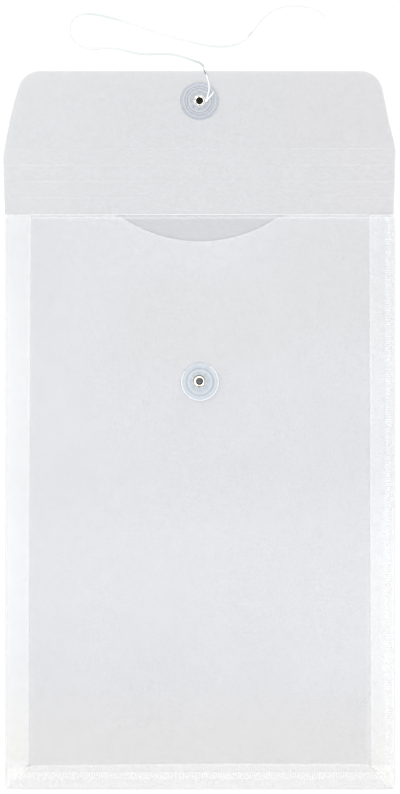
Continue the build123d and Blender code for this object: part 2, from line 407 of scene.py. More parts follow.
def front_extra(nt, co, col):
    """Cooler towards the top, neutral near the foot, and one long faint scratch. Painted light also pales a ring round
    the disc, strips beside the side creases and a strip above the bottom crease, lifting the shade there.
    """
    y = axis_of(nt, co, 1)
    x = axis_of(nt, co, 0)
    foot = remap(nt, y, -0.060, -0.112)
    col = mix(nt, foot, col, (0.705, 0.697, 0.674))
    mid = maths(nt, "MULTIPLY", remap(nt, y, 0.015, -0.020), remap(nt, y, -0.075, -0.030))
    col = mix(nt, mid, col, (0.729, 0.740, 0.770))
    low_right = maths(nt, "MULTIPLY", remap(nt, x, 0.020, 0.050), maths(nt, "MULTIPLY", remap(nt, y, -0.015, -0.035), remap(nt, y, -0.090, -0.062)))
    col = mix(nt, low_right, col, (0.744, 0.750, 0.762))
    right = maths(nt, "MULTIPLY", remap(nt, x, 0.010, 0.045), remap(nt, y, 0.050, 0.080))
    col = mix(nt, right, col, (0.675, 0.678, 0.684))
    core = maths(nt, "MULTIPLY", remap(nt, maths(nt, "ABSOLUTE", x), 0.050, 0.022), maths(nt, "MULTIPLY", remap(nt, y, 0.050, 0.060), remap(nt, y, 0.100, 0.084)))
    col = mix(nt, core, col, (0.681, 0.686, 0.690))
    # painted light: a paler ring round the disc lifts the shadow the raised disc casts on the film
    dx, dy = maths(nt, "SUBTRACT", x, FRONT_DISC[0] * MM), maths(nt, "SUBTRACT", y, FRONT_DISC[1] * MM)
    far = maths(nt, "SQRT", maths(nt, "ADD", maths(nt, "MULTIPLY", dx, dx), maths(nt, "MULTIPLY", dy, dy)))
    col = mix(nt, remap(nt, far, 0.0098, 0.0079), col, (0.755, 0.760, 0.775))
    # painted light: paler strips beside the inner side creases, fuller low on the right, lift the shade the gussets
    # cast there
    ax = maths(nt, "ABSOLUTE", x)
    crease_light = maths(nt, "MULTIPLY", remap(nt, ax, 0.0672, 0.0690), remap(nt, ax, 0.0700, 0.0695))
    crease_light = maths(nt, "MULTIPLY", crease_light, remap(nt, y, -0.1078, -0.1066))
    on_right = remap(nt, x, 0.0, 0.01)
    share = maths(nt, "ADD", maths(nt, "MULTIPLY", on_right, remap(nt, y, 0.02, -0.06, 0.10, 0.95)), remap(nt, x, 0.01, 0.0, 0.0, 0.6))
    col = mix(nt, maths(nt, "MULTIPLY", crease_light, share), col, (0.80, 0.805, 0.815))
    # painted light: a faint paler strip just above the bottom crease lifts the shade there
    above = maths(nt, "MULTIPLY", remap(nt, y, -0.1056, -0.1072), remap(nt, y, -0.1083, -0.1078))
    col = mix(nt, maths(nt, "MULTIPLY", above, 0.5), col, (0.79, 0.785, 0.765))
    p, q = Vector((0.0184, -0.0596)), Vector((-0.0077, -0.0948))
    d = (q - p).normalized()
    long = (q - p).length
    nx, ny = -d.y, d.x
    across = maths(nt, "ADD", maths(nt, "MULTIPLY", x, nx), maths(nt, "MULTIPLY", y, ny))
    across = maths(nt, "ABSOLUTE", maths(nt, "SUBTRACT", across, p.x * nx + p.y * ny))
    along = maths(nt, "ADD", maths(nt, "MULTIPLY", x, d.x), maths(nt, "MULTIPLY", y, d.y))
    along = maths(nt, "SUBTRACT", along, p.x * d.x + p.y * d.y)
    run = maths(nt, "MULTIPLY", remap(nt, along, 0.0, 0.006), remap(nt, along, long, long - 0.014))
    line = maths(nt, "MULTIPLY", remap(nt, across, 0.00024, 0.00008), run)
    broken = remap(nt, noise(nt, co, 260.0, 2.0), 0.35, 0.6, 0.25, 0.9)
    return mix(nt, maths(nt, "MULTIPLY", line, broken), col, (0.93, 0.93, 0.94))


A_FILM = 0.17


def back_extra(nt, co, col):
    """Paler stressed band along the flap fold; beside the notch it is made paler still with painted light, where the
    front panel's shadow falls.
    """
    y = axis_of(nt, co, 1)
    wide = remap(nt, maths(nt, "ABSOLUTE", axis_of(nt, co, 0)), 0.0335, 0.0350)
    band = maths(nt, "MULTIPLY", remap(nt, y, 0.11538, 0.11552), remap(nt, y, 0.11712, 0.11590))
    col = mix(nt, band, col, (0.365, 0.375, 0.402))
    # painted light: paler still beside the notch, under the front panel's shadow
    return mix(nt, maths(nt, "MULTIPLY", wide, remap(nt, y, 0.11560, 0.11600)), col, (0.455, 0.465, 0.490))


def flap_extra(nt, co, col):
    """A little paler to the left, warmer to the right, and a thin darker line above the fold and each score, which is
    painted crease shade.
    """
    x, y = axis_of(nt, co, 0), axis_of(nt, co, 1)
    col = mix(nt, remap(nt, x, -0.018, -0.060), col, (0.326, 0.335, 0.363))
    col = mix(nt, remap(nt, x, 0.018, 0.050), col, (0.305, 0.303, 0.329))
    strips = remap(nt, y, (YF + 30.0) * MM, (YF + 24.0) * MM)
    col = mix(nt, maths(nt, "MULTIPLY", strips, 0.75), col, (0.322, 0.330, 0.358))
    col = mix(nt, maths(nt, "MULTIPLY", strips, remap(nt, maths(nt, "ABSOLUTE", x), 0.050, 0.060)), col, mix(nt, remap(nt, x, -0.01, 0.01), (0.337, 0.346, 0.372), (0.322, 0.321, 0.345)))
    # painted shade: a thin darker line just past the fold and each score, over the first strips
    t = maths(nt, "FRACT", maths(nt, "MULTIPLY", maths(nt, "SUBTRACT", y, YF * MM), 1 / (STRIP * CF * MM)))
    crease_shade = maths(nt, "MULTIPLY", maths(nt, "MULTIPLY", remap(nt, t, 0.018, 0.030), remap(nt, t, 0.115, 0.075)), remap(nt, y, (YF + 28.5) * MM, (YF + 28.0) * MM))
    return mix(nt, maths(nt, "MULTIPLY", crease_shade, 0.16), col, (0.10, 0.10, 0.12))


def gusset_extra(nt, co, col):
    """Paler towards the left outer fold and down the right side, plainer along the bottom."""
    x, y = axis_of(nt, co, 0), axis_of(nt, co, 1)
    outer = remap(nt, x, -0.0735, -0.0785)
    col = mix(nt, outer, col, (0.794, 0.806, 0.795))
    col = mix(nt, remap(nt, y, 0.075, 0.112), col, (0.728, 0.740, 0.730))
    right = remap(nt, x, 0.020, 0.062)
    down = remap(nt, y, 0.030, -0.035)
    side = mix(nt, remap(nt, y, 0.092, 0.072), (0.698, 0.712, 0.732), (0.730, 0.743, 0.748))
    col = mix(nt, right, col, mix(nt, down, side, (0.803, 0.808, 0.803)))
    low = remap(nt, y, -0.1035, -0.1075)
    col = mix(nt, low, col, (0.742, 0.755, 0.770))
    rim = remap(nt, x, 0.0742, 0.0758)
    col = mix(nt, maths(nt, "MULTIPLY", rim, remap(nt, y, 0.030, -0.035, 0.05, 0.0)), col, (0.12, 0.12, 0.12))
    pale = maths(nt, "MULTIPLY", remap(nt, x, 0.0738, 0.0750), remap(nt, x, 0.0775, 0.0760))
    return mix(nt, maths(nt, "MULTIPLY", maths(nt, "MULTIPLY", pale, down), remap(nt, y, -0.1075, -0.1060)), col, (0.847, 0.852, 0.847))


def fold_extra(nt, co, col):
    """Outer side folds: duller up the right side, paler down it."""
    x, y = axis_of(nt, co, 0), axis_of(nt, co, 1)
    return mix(nt, remap(nt, x, -0.01, 0.01), col, mix(nt, remap(nt, y, 0.030, -0.035), (0.665, 0.673, 0.686), (0.84, 0.845, 0.85)))


def web_extra(nt, co, col):
    """Right corner web a little paler."""
    return mix(nt, remap(nt, axis_of(nt, co, 0), -0.01, 0.01), col, (0.875, 0.874, 0.842))


def rim_extra(nt, co, col):
    """Front panel's top rim, paler over the side gussets."""
    return mix(nt, remap(nt, maths(nt, "ABSOLUTE", axis_of(nt, co, 0)), 0.0694, 0.0702), col, (0.66, 0.668, 0.682))


def weld_extra(nt, co, col):
    """Weld tabs paler under their ladders."""
    x, y = axis_of(nt, co, 0), axis_of(nt, co, 1)
    side = maths(nt, "MULTIPLY", remap(nt, x, 0.0742, 0.0748), remap(nt, x, 0.0781, 0.0778))
    col = mix(nt, maths(nt, "MULTIPLY", side, remap(nt, y, -0.1105, -0.1100)), col, (0.852, 0.859, 0.882))
    low = maths(nt, "MULTIPLY", remap(nt, y, -0.1138, -0.1136), remap(nt, y, -0.1105, -0.1107))
    return mix(nt, maths(nt, "MULTIPLY", low, remap(nt, maths(nt, "ABSOLUTE", x), 0.0760, 0.0755)), col, (0.950, 0.938, 0.932))


M_BACK = film("film_back", (0.190, 0.198, 0.233), (0.210, 0.218, 0.253), A_FILM, 0.55, back_extra, 0.31)
M_FLAP = film("film_flap", (0.296, 0.304, 0.332), (0.316, 0.324, 0.352), A_FILM, 0.55, flap_extra, 0.27)
M_FRONT = film("film_front", (0.688, 0.693, 0.722), (0.714, 0.719, 0.747), A_FILM, 0.52, front_extra, 0.135)
M_GUSSET = film("film_gusset", (0.770, 0.775, 0.762), (0.795, 0.800, 0.787), A_FILM, 0.55, gusset_extra, 0.12)
M_FOLD = film("film_fold", (0.63, 0.64, 0.65), (0.69, 0.70, 0.71), 0.14, 0.55, fold_extra)
# paler film for the whitened inner creases; the pale tone also lifts the shade on their steep sides (painted light)
M_BEND = film("film_inner_fold", (0.78, 0.785, 0.79), (0.85, 0.855, 0.86), 0.14, 0.55)
M_FOLD_LOW = film("film_fold_low", (0.46, 0.47, 0.47), (0.58, 0.59, 0.59), 0.17, 0.55)
M_WEB = film("film_web", (0.873, 0.873, 0.858), (0.903, 0.903, 0.888), 0.15, 0.55, web_extra)
M_WELD = film("film_weld", (0.72, 0.725, 0.73), (0.755, 0.76, 0.765), 0.06, 0.55, weld_extra)
M_TICK = film("weld_ticks", (0.659, 0.662, 0.660), (0.679, 0.681, 0.677), 0.33, 0.50)
M_EDGE = film("film_edge", (0.93, 0.935, 0.94), (0.97, 0.97, 0.97), 0.40, 0.50)
# painted shade: the front panel's top rim is toned darker than the panel, tempering the light gathered at its cut edge
M_RIM_FILM = film("film_rim", (0.590, 0.598, 0.622), (0.618, 0.626, 0.650), A_FILM, 0.52, rim_extra)
# painted shade: darker rim along the tongue's top edge, holding back the light that gathers under its lifted edge
M_FLAP_RIM = film("film_flap_edge", (0.245, 0.252, 0.280), (0.265, 0.272, 0.300), A_FILM, 0.55, None, 0.15)
# pale line along the flap fold: a painted highlight on the fold, with its stress whitening
M_CREASE = film("flap_crease", (0.88, 0.885, 0.89), (0.95, 0.95, 0.95), 0.178, 0.50)
M_INNER = film("film_inner_edge", (0.83, 0.835, 0.84), (0.89, 0.895, 0.90), 0.17, 0.52)


def score_material(name, plain, runs):
    """Scored crease: a little paler all along, stress-whitened in broken runs (from, to, strength; millimetres)."""
    m, nt, b = nodes_of(name)
    co = coords(nt)
    x = axis_of(nt, co, 0)
    white = None
    for x0, x1, much in runs:
        w = maths(nt, "MULTIPLY", remap(nt, x, x0 * MM, (x0 + 2.5) * MM, 0.0, much), remap(nt, x, x1 * MM, (x1 - 2.5) * MM))
        white = w if white is None else maths(nt, "MAXIMUM", white, w)
    broken = remap(nt, noise(nt, co, 420.0, 3.0, 0.6, (1.0, 6.0, 1.0)), 0.36, 0.58, 0.55, 1.15)
    link(nt, mix(nt, maths(nt, "MULTIPLY", white, broken), (plain - 0.010, plain, plain + 0.022), (0.800, 0.805, 0.815)), b.inputs["Base Color"])
    link(nt, remap(nt, noise(nt, co, 2600.0, 2.0, 0.6), 0.3, 0.7, 0.48, 0.60), b.inputs["Roughness"])
    b.inputs["Alpha"].default_value = 0.20
    b.inputs["IOR"].default_value = 1.49
    b.inputs["Specular IOR Level"].default_value = 0.45
    return m


M_SCORES = [score_material("film_score_1", 0.590, [(-75, -53, 0.52), (67, 82, 0.38)]),
            score_material("film_score_2", 0.560, [(-73, -62, 0.48), (-66, -53, 0.85), (-54, -24, 0.30), (30, 57, 0.24), (56, 80, 0.55)]),
            score_material("film_score_3", 0.600, [(-81, -53, 0.72), (-50, -44, 0.36), (38, 53, 0.28), (56, 85, 0.42)]),
            score_material("film_score_4", 0.562, [(-82, -68, 0.30), (-16, 58, 0.17), (58, 80, 0.38)])]


def disc_material(name, dark, light, alpha):
    """Moulded button: cool translucent plastic with flow marks and a soft gloss. Also makes the darker and paler copies
    of it that paint shade and light on the discs.
    """
    m, nt, b = nodes_of(name)
    co = coords(nt)
    flow = remap(nt, noise(nt, co, 420.0, 3.0, 0.55), 0.3, 0.7)
    link(nt, mix(nt, flow, dark, light), b.inputs["Base Color"])
    fine = noise(nt, co, 3200.0, 2.0, 0.5)
    link(nt, remap(nt, fine, 0.3, 0.7, 0.36, 0.46), b.inputs["Roughness"])
    bump(nt, b, fine, 0.000008, 0.25)
    b.inputs["Alpha"].default_value = alpha
    b.inputs["IOR"].default_value = 1.49
    b.inputs["Specular IOR Level"].default_value = 0.30
    return m


M_DISC = disc_material("disc_plastic", (0.425, 0.477, 0.530), (0.450, 0.502, 0.555), 0.32)
# painted shade: darker copy of the disc plastic for the relief pockets
M_POCKET_SHADE = disc_material("disc_recess", (0.415, 0.465, 0.522), (0.440, 0.490, 0.547), 0.33)
# painted highlight: pale copy of the plastic for the lit stretches of both discs' rims
M_RIM = disc_material("disc_rim", (0.80, 0.82, 0.84), (0.88, 0.90, 0.91), 0.38)
# painted shade: dark copy of the plastic for the ring grooves
M_GROOVE_SHADE = disc_material("disc_groove", (0.270, 0.310, 0.370), (0.295, 0.335, 0.395), 0.36)
# painted light: paler copy of the plastic for the ridges, round the rivet head and the rim's less lit stretches
M_CREST_LIGHT = disc_material("disc_crest", (0.540, 0.590, 0.640), (0.565, 0.615, 0.665), 0.34)
# painted light: the flap disc's plastic is paler than the front disc's, lifting the shade it sits in under the flap
M_FLAP_DISC = disc_material("flap_disc_plastic", (0.470, 0.525, 0.590), (0.500, 0.555, 0.620), 0.32)
# flap disc copies: painted shade in the pockets and grooves, painted light on the ribs and crests
M_FLAP_POCKET_SHADE = disc_material("flap_disc_recess", (0.440, 0.488, 0.552), (0.470, 0.518, 0.582), 0.38)
M_FLAP_RIB_LIGHT = disc_material("flap_disc_rib", (0.560, 0.615, 0.680), (0.590, 0.645, 0.710), 0.34)
M_FLAP_GROOVE_SHADE = disc_material("flap_disc_groove", (0.235, 0.280, 0.340), (0.265, 0.310, 0.370), 0.42)
M_FLAP_CREST_LIGHT = disc_material("flap_disc_crest", (0.640, 0.690, 0.745), (0.670, 0.720, 0.775), 0.36)
# painted shadow: near-black seat ring round the rivet heads
M_SEAT_SHADOW = disc_material("disc_seat", (0.035, 0.030, 0.026), (0.060, 0.052, 0.045), 0.92)


def metal_material(name, base, second, rough):
    m, nt, b = nodes_of(name)
    co = coords(nt)
    wear = remap(nt, noise(nt, co, 900.0, 4.0, 0.6), 0.35, 0.7)
    link(nt, mix(nt, wear, base, second), b.inputs["Base Color"])
    link(nt, remap(nt, noise(nt, co, 2400.0, 2.0, 0.5), 0.3, 0.7, rough - 0.06, rough + 0.08), b.inputs["Roughness"])
    b.inputs["Metallic"].default_value = 1.0
    return m


M_EYELET = metal_material("eyelet_metal", (0.52, 0.47, 0.37), (0.435, 0.39, 0.295), 0.42)
# painted shade: near-black barrel linings stand in for the shade deep inside the rivet holes
M_BARREL = metal_material("eyelet_barrel", (0.012, 0.011, 0.011), (0.007, 0.007, 0.007), 0.60)
M_BARREL_F = metal_material("front_eyelet_barrel", (0.040, 0.043, 0.047), (0.022, 0.024, 0.027), 0.50)
M_ROLL = metal_material("eyelet_roll", (0.60, 0.575, 0.51), (0.50, 0.475, 0.41), 0.40)


def string_material():
    """White twisted thread. Past the flap's edge it is painted cooler and greyer than under the film so its shaded
    sides show on the pale floor, darker in patches, with painted shade and shadow near the flap's edge and a paler tip.
    """
    m, nt, b = nodes_of("string_thread")
    co = coords(nt)
    y = axis_of(nt, co, 1)
    x = axis_of(nt, co, 0)
    # painted shade: past the flap's edge the thread is painted cooler and greyer than under the film
    past_flap_edge = remap(nt, y, 0.1757, 0.1785)
    fibre = remap(nt, noise(nt, co, 5200.0, 3.0, 0.6), 0.25, 0.75)
    thread_white = mix(nt, fibre, (0.90, 0.90, 0.89), (0.97, 0.97, 0.96))
    used = mix(nt, fibre, (0.522, 0.536, 0.533), (0.616, 0.630, 0.627))
    # a darker tone, for patches along the loop and lower run, and as painted shade near the flap
    darker_tone = mix(nt, fibre, (0.425, 0.475, 0.47), (0.535, 0.585, 0.58))
    grey = maths(nt, "MULTIPLY", maths(nt, "MULTIPLY", remap(nt, x, -0.0495, -0.0450), remap(nt, x, -0.0290, -0.0360)), remap(nt, y, 0.1945, 0.1960))
    low_run = maths(nt, "MULTIPLY", maths(nt, "MULTIPLY", remap(nt, x, -0.010, 0.002), remap(nt, x, 0.0165, 0.0145)), remap(nt, y, 0.1848, 0.1854))
    mark = maths(nt, "MULTIPLY", maths(nt, "MULTIPLY", remap(nt, x, 0.0196, 0.0202), remap(nt, x, 0.0218, 0.0211)), remap(nt, y, 0.1875, 0.1880))
    used = mix(nt, maths(nt, "MAXIMUM", grey, maths(nt, "MULTIPLY", low_run, 0.45)), used, darker_tone)
    used = mix(nt, mark, used, (0.49, 0.50, 0.50))
    # painted light: the last few millimetres of the tip are paler, lifting the shade at the frayed end
    end = maths(nt, "MULTIPLY", remap(nt, y, 0.1985, 0.1935), remap(nt, x, 0.0480, 0.0500))
    used = mix(nt, end, used, (0.70, 0.71, 0.71))
    # painted shade: a darker stretch near the flap and a dark teal stripe down the thread's left side as it leaves the
    # flap's edge
    edge = maths(nt, "MULTIPLY", maths(nt, "MULTIPLY", remap(nt, y, 0.1762, 0.1774), remap(nt, y, 0.1815, 0.1786)), remap(nt, x, -0.006, -0.002))
    near_flap = maths(nt, "MULTIPLY", remap(nt, y, 0.1866, 0.1838), remap(nt, x, -0.060, -0.008))
    used = mix(nt, near_flap, used, darker_tone)
    used = mix(nt, edge, used, (0.36, 0.415, 0.415))
    col = mix(nt, past_flap_edge, thread_white, used)
    # painted shadow: near-black spots either side of the thread where it crosses the flap's edge
    across = maths(nt, "SUBTRACT", maths(nt, "ADD", x, maths(nt, "MULTIPLY", maths(nt, "SUBTRACT", y, 0.1763), 0.39)), 0.00210)
    shadow_left = maths(nt, "MULTIPLY", remap(nt, across, -0.00002, -0.00016), maths(nt, "MULTIPLY", remap(nt, y, 0.1742, 0.1750), remap(nt, y, 0.1774, 0.1764)))
    shadow_right = maths(nt, "MULTIPLY", remap(nt, across, 0.00006, 0.00018), maths(nt, "MULTIPLY", remap(nt, y, 0.1740, 0.1746), remap(nt, y, 0.1766, 0.1758)))
    col = mix(nt, maths(nt, "MAXIMUM", shadow_left, shadow_right), col, (0.055, 0.060, 0.066))
    link(nt, col, b.inputs["Base Color"])
    b.inputs["Roughness"].default_value = 0.85
    b.inputs["Sheen Weight"].default_value = 0.25
    b.inputs["Sheen Roughness"].default_value = 0.5
    bump(nt, b, fibre, 0.00003, 0.5)
    return m


M_STRING = string_material()

# ------------------------------------------------------------------ camera, light, floor
scene = bpy.context.scene
scene.view_settings.view_transform = "Standard"
scene.view_settings.look = "None"
scene.view_settings.exposure = 0.0
scene.view_settings.gamma = 1.0
scene.cycles.transparent_max_bounces = 48

cam_data = bpy.data.cameras.new("camera")
cam = bpy.data.objects.new("camera", cam_data)
scene.collection.objects.link(cam)
CAM_UP = 2.4
SEEN_HIGH = 0.3243
cam.location = (0.06 * MM, 42.55 * MM, CAM_UP)
cam.rotation_euler = (0.0, 0.0, 0.0)
cam_data.sensor_fit = "VERTICAL"
cam_data.sensor_height = 36.0
cam_data.lens = 36.0 * (CAM_UP - 0.0073) / SEEN_HIGH
cam_data.clip_start, cam_data.clip_end = 0.05, 20.0
scene.camera = cam

world = bpy.data.worlds.new("studio")
scene.world = world
world.use_nodes = True
bg = world.node_tree.nodes["Background"]
bg.inputs["Color"].default_value = (1.0, 1.0, 1.0, 1.0)
bg.inputs["Strength"].default_value = 0.50


def lamp(name, at, aim, size, power):
    d = bpy.data.lights.new(name, "AREA")
    d.shape = "SQUARE"
    d.size = size
    d.energy = power
    o = bpy.data.objects.new(name, d)
    scene.collection.objects.link(o)
    o.location = at
    o.rotation_euler = (Vector(aim) - Vector(at)).to_track_quat("-Z", "Y").to_euler()
    return o


lamp("soft_top", (0.0, 0.04, 3.5), (0.0, 0.04, 0.0), 1.3, 168.0)
lamp("soft_left", (-1.05, 0.55, 1.15), (0.0, 0.03, 0.0), 0.9, 4.0)

m_floor, nt_floor, b_floor = nodes_of("pale_floor")
b_floor.inputs["Base Color"].default_value = (0.57, 0.57, 0.57, 1.0)
b_floor.inputs["Roughness"].default_value = 0.9
b_floor.inputs["Specular IOR Level"].default_value = 0.0
bm = bmesh.new()
bmesh.ops.create_grid(bm, x_segments=2, y_segments=2, size=3.0)
me = bpy.data.meshes.new("floor")
bm.to_mesh(me)
bm.free()
me.materials.append(m_floor)
floor = bpy.data.objects.new("floor", me)
floor.location = (0, 0, -0.00006)
scene.collection.objects.link(floor)

# ------------------------------------------------------------------ string
N_STR = -RH - SEAT - HUB_H / 2
under = [(2.80, 47.00, N_STR), (3.14, 48.60, N_STR), (3.90, 50.85, N_STR), (3.62, 53.80, N_STR - 0.10), (2.88, 56.20, N_STR - 0.55)]
route = [on_flap(*p) for p in under]
zf = CORD_D / 2 + 0.02
route += [Vector(p) * MM for p in [(2.10, 176.30, 1.75), (1.35, 178.20, 1.05), (-0.10, 179.60, 0.60)]]
for x, y in [(-3.3, 180.6), (-6.6, 181.8), (-9.9, 182.7), (-13.2, 183.15), (-17.6, 183.2), (-22.4, 182.8), (-27.4, 183.6),
             (-32.0, 184.8), (-36.7, 185.7), (-41.0, 185.3), (-45.4, 185.2), (-49.6, 186.6), (-52.3, 189.0),
             (-53.6, 192.0), (-53.4, 195.4), (-51.3, 198.2), (-47.8, 199.7), (-43.0, 199.4), (-36.4, 197.9),
             (-29.6, 196.0), (-20.6, 192.9), (-12.0, 190.2), (-3.6, 188.0), (3.6, 186.4), (9.6, 186.0), (14.6, 186.8),
             (18.4, 188.8), (21.2, 191.8), (23.6, 195.2), (26.4, 198.6), (30.0, 201.2), (34.6, 202.7), (39.6, 203.0), (44.4, 202.4),
             (48.4, 200.8), (51.7, 197.7), (54.9, 192.7)]:
    route.append(Vector((x, y, zf)) * MM)

curve = bpy.data.curves.new("string_route", "CURVE")
curve.dimensions = "3D"
curve.resolution_u = 16
spline = curve.splines.new("NURBS")
spline.points.add(len(route) - 1)
for p, v in zip(spline.points, route):
    p.co = (*v, 1.0)
spline.order_u = 3
spline.use_endpoint_u = True
guide = bpy.data.objects.new("string_route", curve)
line_mesh = bpy.data.meshes.new_from_object(guide)
line = np.array([v.co for v in line_mesh.vertices], float)
bpy.data.meshes.remove(line_mesh)
bpy.data.objects.remove(guide)
bpy.data.curves.remove(curve)


def even(points, step):
    p = np.array(points, float)
    along = np.concatenate([[0], np.cumsum(np.linalg.norm(np.diff(p, axis=0), axis=1))])
    at = np.linspace(0, along[-1], max(3, int(along[-1] / step) + 1))
    return np.stack([np.interp(at, along, p[:, k]) for k in range(3)], 1), along[-1]


def strands(points, step=0.00016, off=0.00018, rad=0.00021, pitch=0.0021, count=3, sides=7, fray=0.0, closed=False, phase=0.0):
    """Twisted strands round a centreline."""
    c, long = even(points, step)
    if closed:
        c = c[:-1]
    k = len(c)
    tan = np.roll(c, -1, 0) - np.roll(c, 1, 0)
    if not closed:
        tan[0], tan[-1] = c[1] - c[0], c[-1] - c[-2]
    tan /= np.linalg.norm(tan, axis=1)[:, None]
    nor = np.cross(tan[0], np.array([0.0, 0.0, 1.0]))
    nor /= np.linalg.norm(nor)
    turns = long / pitch
    if closed:
        turns = round(turns * count) / count
    parts = []
    axes = []
    for i in range(k):
        nor = nor - (nor @ tan[i]) * tan[i]
        nor /= np.linalg.norm(nor)
        axes.append((nor.copy(), np.cross(tan[i], nor)))
    for s in range(count):
        pts, rr = [], []
        for i in range(k):
            t = i / (k if closed else k - 1)
            a = 2 * math.pi * (turns * t + s / count) + phase
            open_end = max(0.0, 1 - (1 - t) * long / 0.0016) if fray else 0.0
            o = off * (1 + fray * open_end)
            n, b = axes[i]
            pts.append(c[i] + o * (math.cos(a) * n + math.sin(a) * b))
            rr.append(rad * (1 - 0.35 * open_end))
        parts.append(tube(pts, rr, sides, closed=False if not closed else (abs(turns - round(turns)) < 1e-6)))
    return joined(parts), c, long


(sv, sf), centre, cord_long = strands(line, fray=0.9)
string = make("string_lead", sv, sf, [M_STRING], flip=False, sharp=80)
done(string, "flap_tongue", "string", "string")

# loop round the hub, an overhand knot and the short cut tail
loop_r = HUB_R + 0.04 + 0.25
ring = [np.array(on_flap(FLAP_DISC[0] + loop_r * math.cos(a), FLAP_DISC[1] + loop_r * math.sin(a), N_STR))
        for a in np.linspace(0, 2 * math.pi, 121)]
(lv, lf), _, _ = strands(ring, step=0.00012, off=0.00011, rad=0.00013, pitch=0.0016, closed=True)
kx, ky = FLAP_DISC[0] + 2.86, FLAP_DISC[1] + 0.10
knot = []
for t in np.linspace(0, 2 * math.pi, 97)[:-1]:
    r = 2.0 + math.cos(3 * t)
    knot.append(np.array(on_flap(kx + 0.165 * r * math.cos(2 * t), ky + 0.175 * r * math.sin(2 * t), N_STR + 0.14 * math.sin(3 * t))))
kv, kf = tube(knot, 0.00025, 9, closed=True)
lv, lf = joined([(lv, lf), (kv, kf)])
loop = make("string_knot", lv, lf, [M_STRING], flip=False, sharp=80)
done(loop, "flap_tongue", "string", "string_loop")
ta, tb = (FLAP_DISC[0] + 3.10, FLAP_DISC[1] + 0.42), (FLAP_DISC[0] + 5.85, FLAP_DISC[1] + 3.75)
tail_pts = [np.array(on_flap(ta[0] + (tb[0] - ta[0]) * t + 0.16 * math.sin(math.pi * t), ta[1] + (tb[1] - ta[1]) * t - 0.10 * math.sin(math.pi * t), N_STR))
            for t in np.linspace(0, 1, 15)]
(tv, tf), _, _ = strands(tail_pts, fray=0.5, phase=0.8)
tail = make("string_cut_tail", tv, tf, [M_STRING], flip=False, sharp=80)
done(tail, "flap_tongue", "string", "string_tail")

# ------------------------------------------------------------------ film panels


def near(u, v, c, r0, r1):
    """0 close to c, 1 beyond r1."""
    d = math.hypot(u - c[0], v - c[1])
    t = min(1.0, max(0.0, (d - r0) / (r1 - r0)))
    return t * t * (3 - 2 * t)


def ease(d, w):
    t = min(1.0, max(0.0, d / w))
    return t * t * (3 - 2 * t)


def front_wave(u, v):
    hold = ease(XA - abs(u), 26) * ease(v - YA, 26) * near(u, v, FRONT_DISC, 9, 26)
    free = 0.10 * math.sin(u / 31 + 0.6) * math.sin(v / 43 + 1.1) + 0.07 * math.sin(u / 17 - v / 29)
    return hold * free


def tongue_wave(u, s):
    hold = ease(s - 4 * STRIP, 14) * near(u, s, FLAP_DISC, 9, 24)
    return hold * (0.09 * math.sin(u / 23 + 0.4) + 0.05 * math.sin(u / 11 + s / 9))


back_loop = [(-XA, YA), (XA, YA), (XA, YF - 0.28), (-XA, YF - 0.28)]
back = panel("back_film", back_loop, flat(0), 0, T, [M_BACK], step=5.0)
done(back, "back_panel", "film", "back_panel")
parts = [bead((-XA * MM, YA * MM, ZA * MM), (-XA * MM, Y_TOP * MM, ZA * MM), RB * MM, seed=0.4),
         bead((XA * MM, YA * MM, ZA * MM), (XA * MM, Y_TOP * MM, ZA * MM), RB * MM, seed=1.7)]
folds = make("back_side_folds", *joined(parts), [M_FOLD], sharp=60)
done(folds, "back_panel", "film")
folds = make("back_bottom_fold", *bead((-XA * MM, YA * MM, ZA * MM), (XA * MM, YA * MM, ZA * MM), RB * MM, seed=2.9), [M_FOLD_LOW], sharp=60)
done(folds, "back_panel", "film")
hinge = make("flap_fold_line", *bead((-(W / 2 + 0.2) * MM, (YF - 0.22) * MM, 0.19 * MM), ((W / 2 - 0.5) * MM, (YF - 0.22) * MM, 0.19 * MM), 0.19 * MM, seed=0.9), [M_CREASE], sharp=60)
done(hinge, "back_panel", "film")

MITRE = 0.12
U0 = 0.30
G_TOP = YF - 0.50


D_LOW = 0.47


def taper(v, sign):
    """How much narrower a side gusset is than its nominal width, by height."""
    d_top, power = (-0.40, 2.3) if sign < 0 else (-0.28, 1.4)
    t = min(1.0, max(0.0, (G_TOP - v) / (G_TOP - YA - GUSSET_W)))
    return d_top + (D_LOW - d_top) * (1 - (1 - t) ** power)


def side_loop(front, sign):
    """Outline of a side gusset half, which tapers along its inner crease."""
    def low(u):
        return YA + (GUSSET_W - u if front else u) + MITRE

    lo = low(U0 + D_LOW if front else GUSSET_W - D_LOW)
    vs = np.linspace(lo, G_TOP, 12)
    if front:
        return [(GUSSET_W - U0, low(GUSSET_W - U0)), (GUSSET_W - U0, G_TOP)] + [(U0 + taper(v, sign), v) for v in reversed(vs)]
    return [(U0, low(U0))] + [(GUSSET_W - max(taper(v, sign), -0.4 * taper(v, sign)), v) for v in vs] + [(U0, G_TOP)]


BOW = [(-70.0, 0.55), (-65.3, 0.50), (-40.8, 0.25), (-16.3, -0.02), (8.2, -0.22), (32.7, -0.14), (57.3, -0.08), (70.0, -0.03)]


def bow(x):
    """How much narrower the bottom gusset is than its nominal width, along it."""
    return float(np.interp(x, [a for a, _ in BOW], [b for _, b in BOW]))


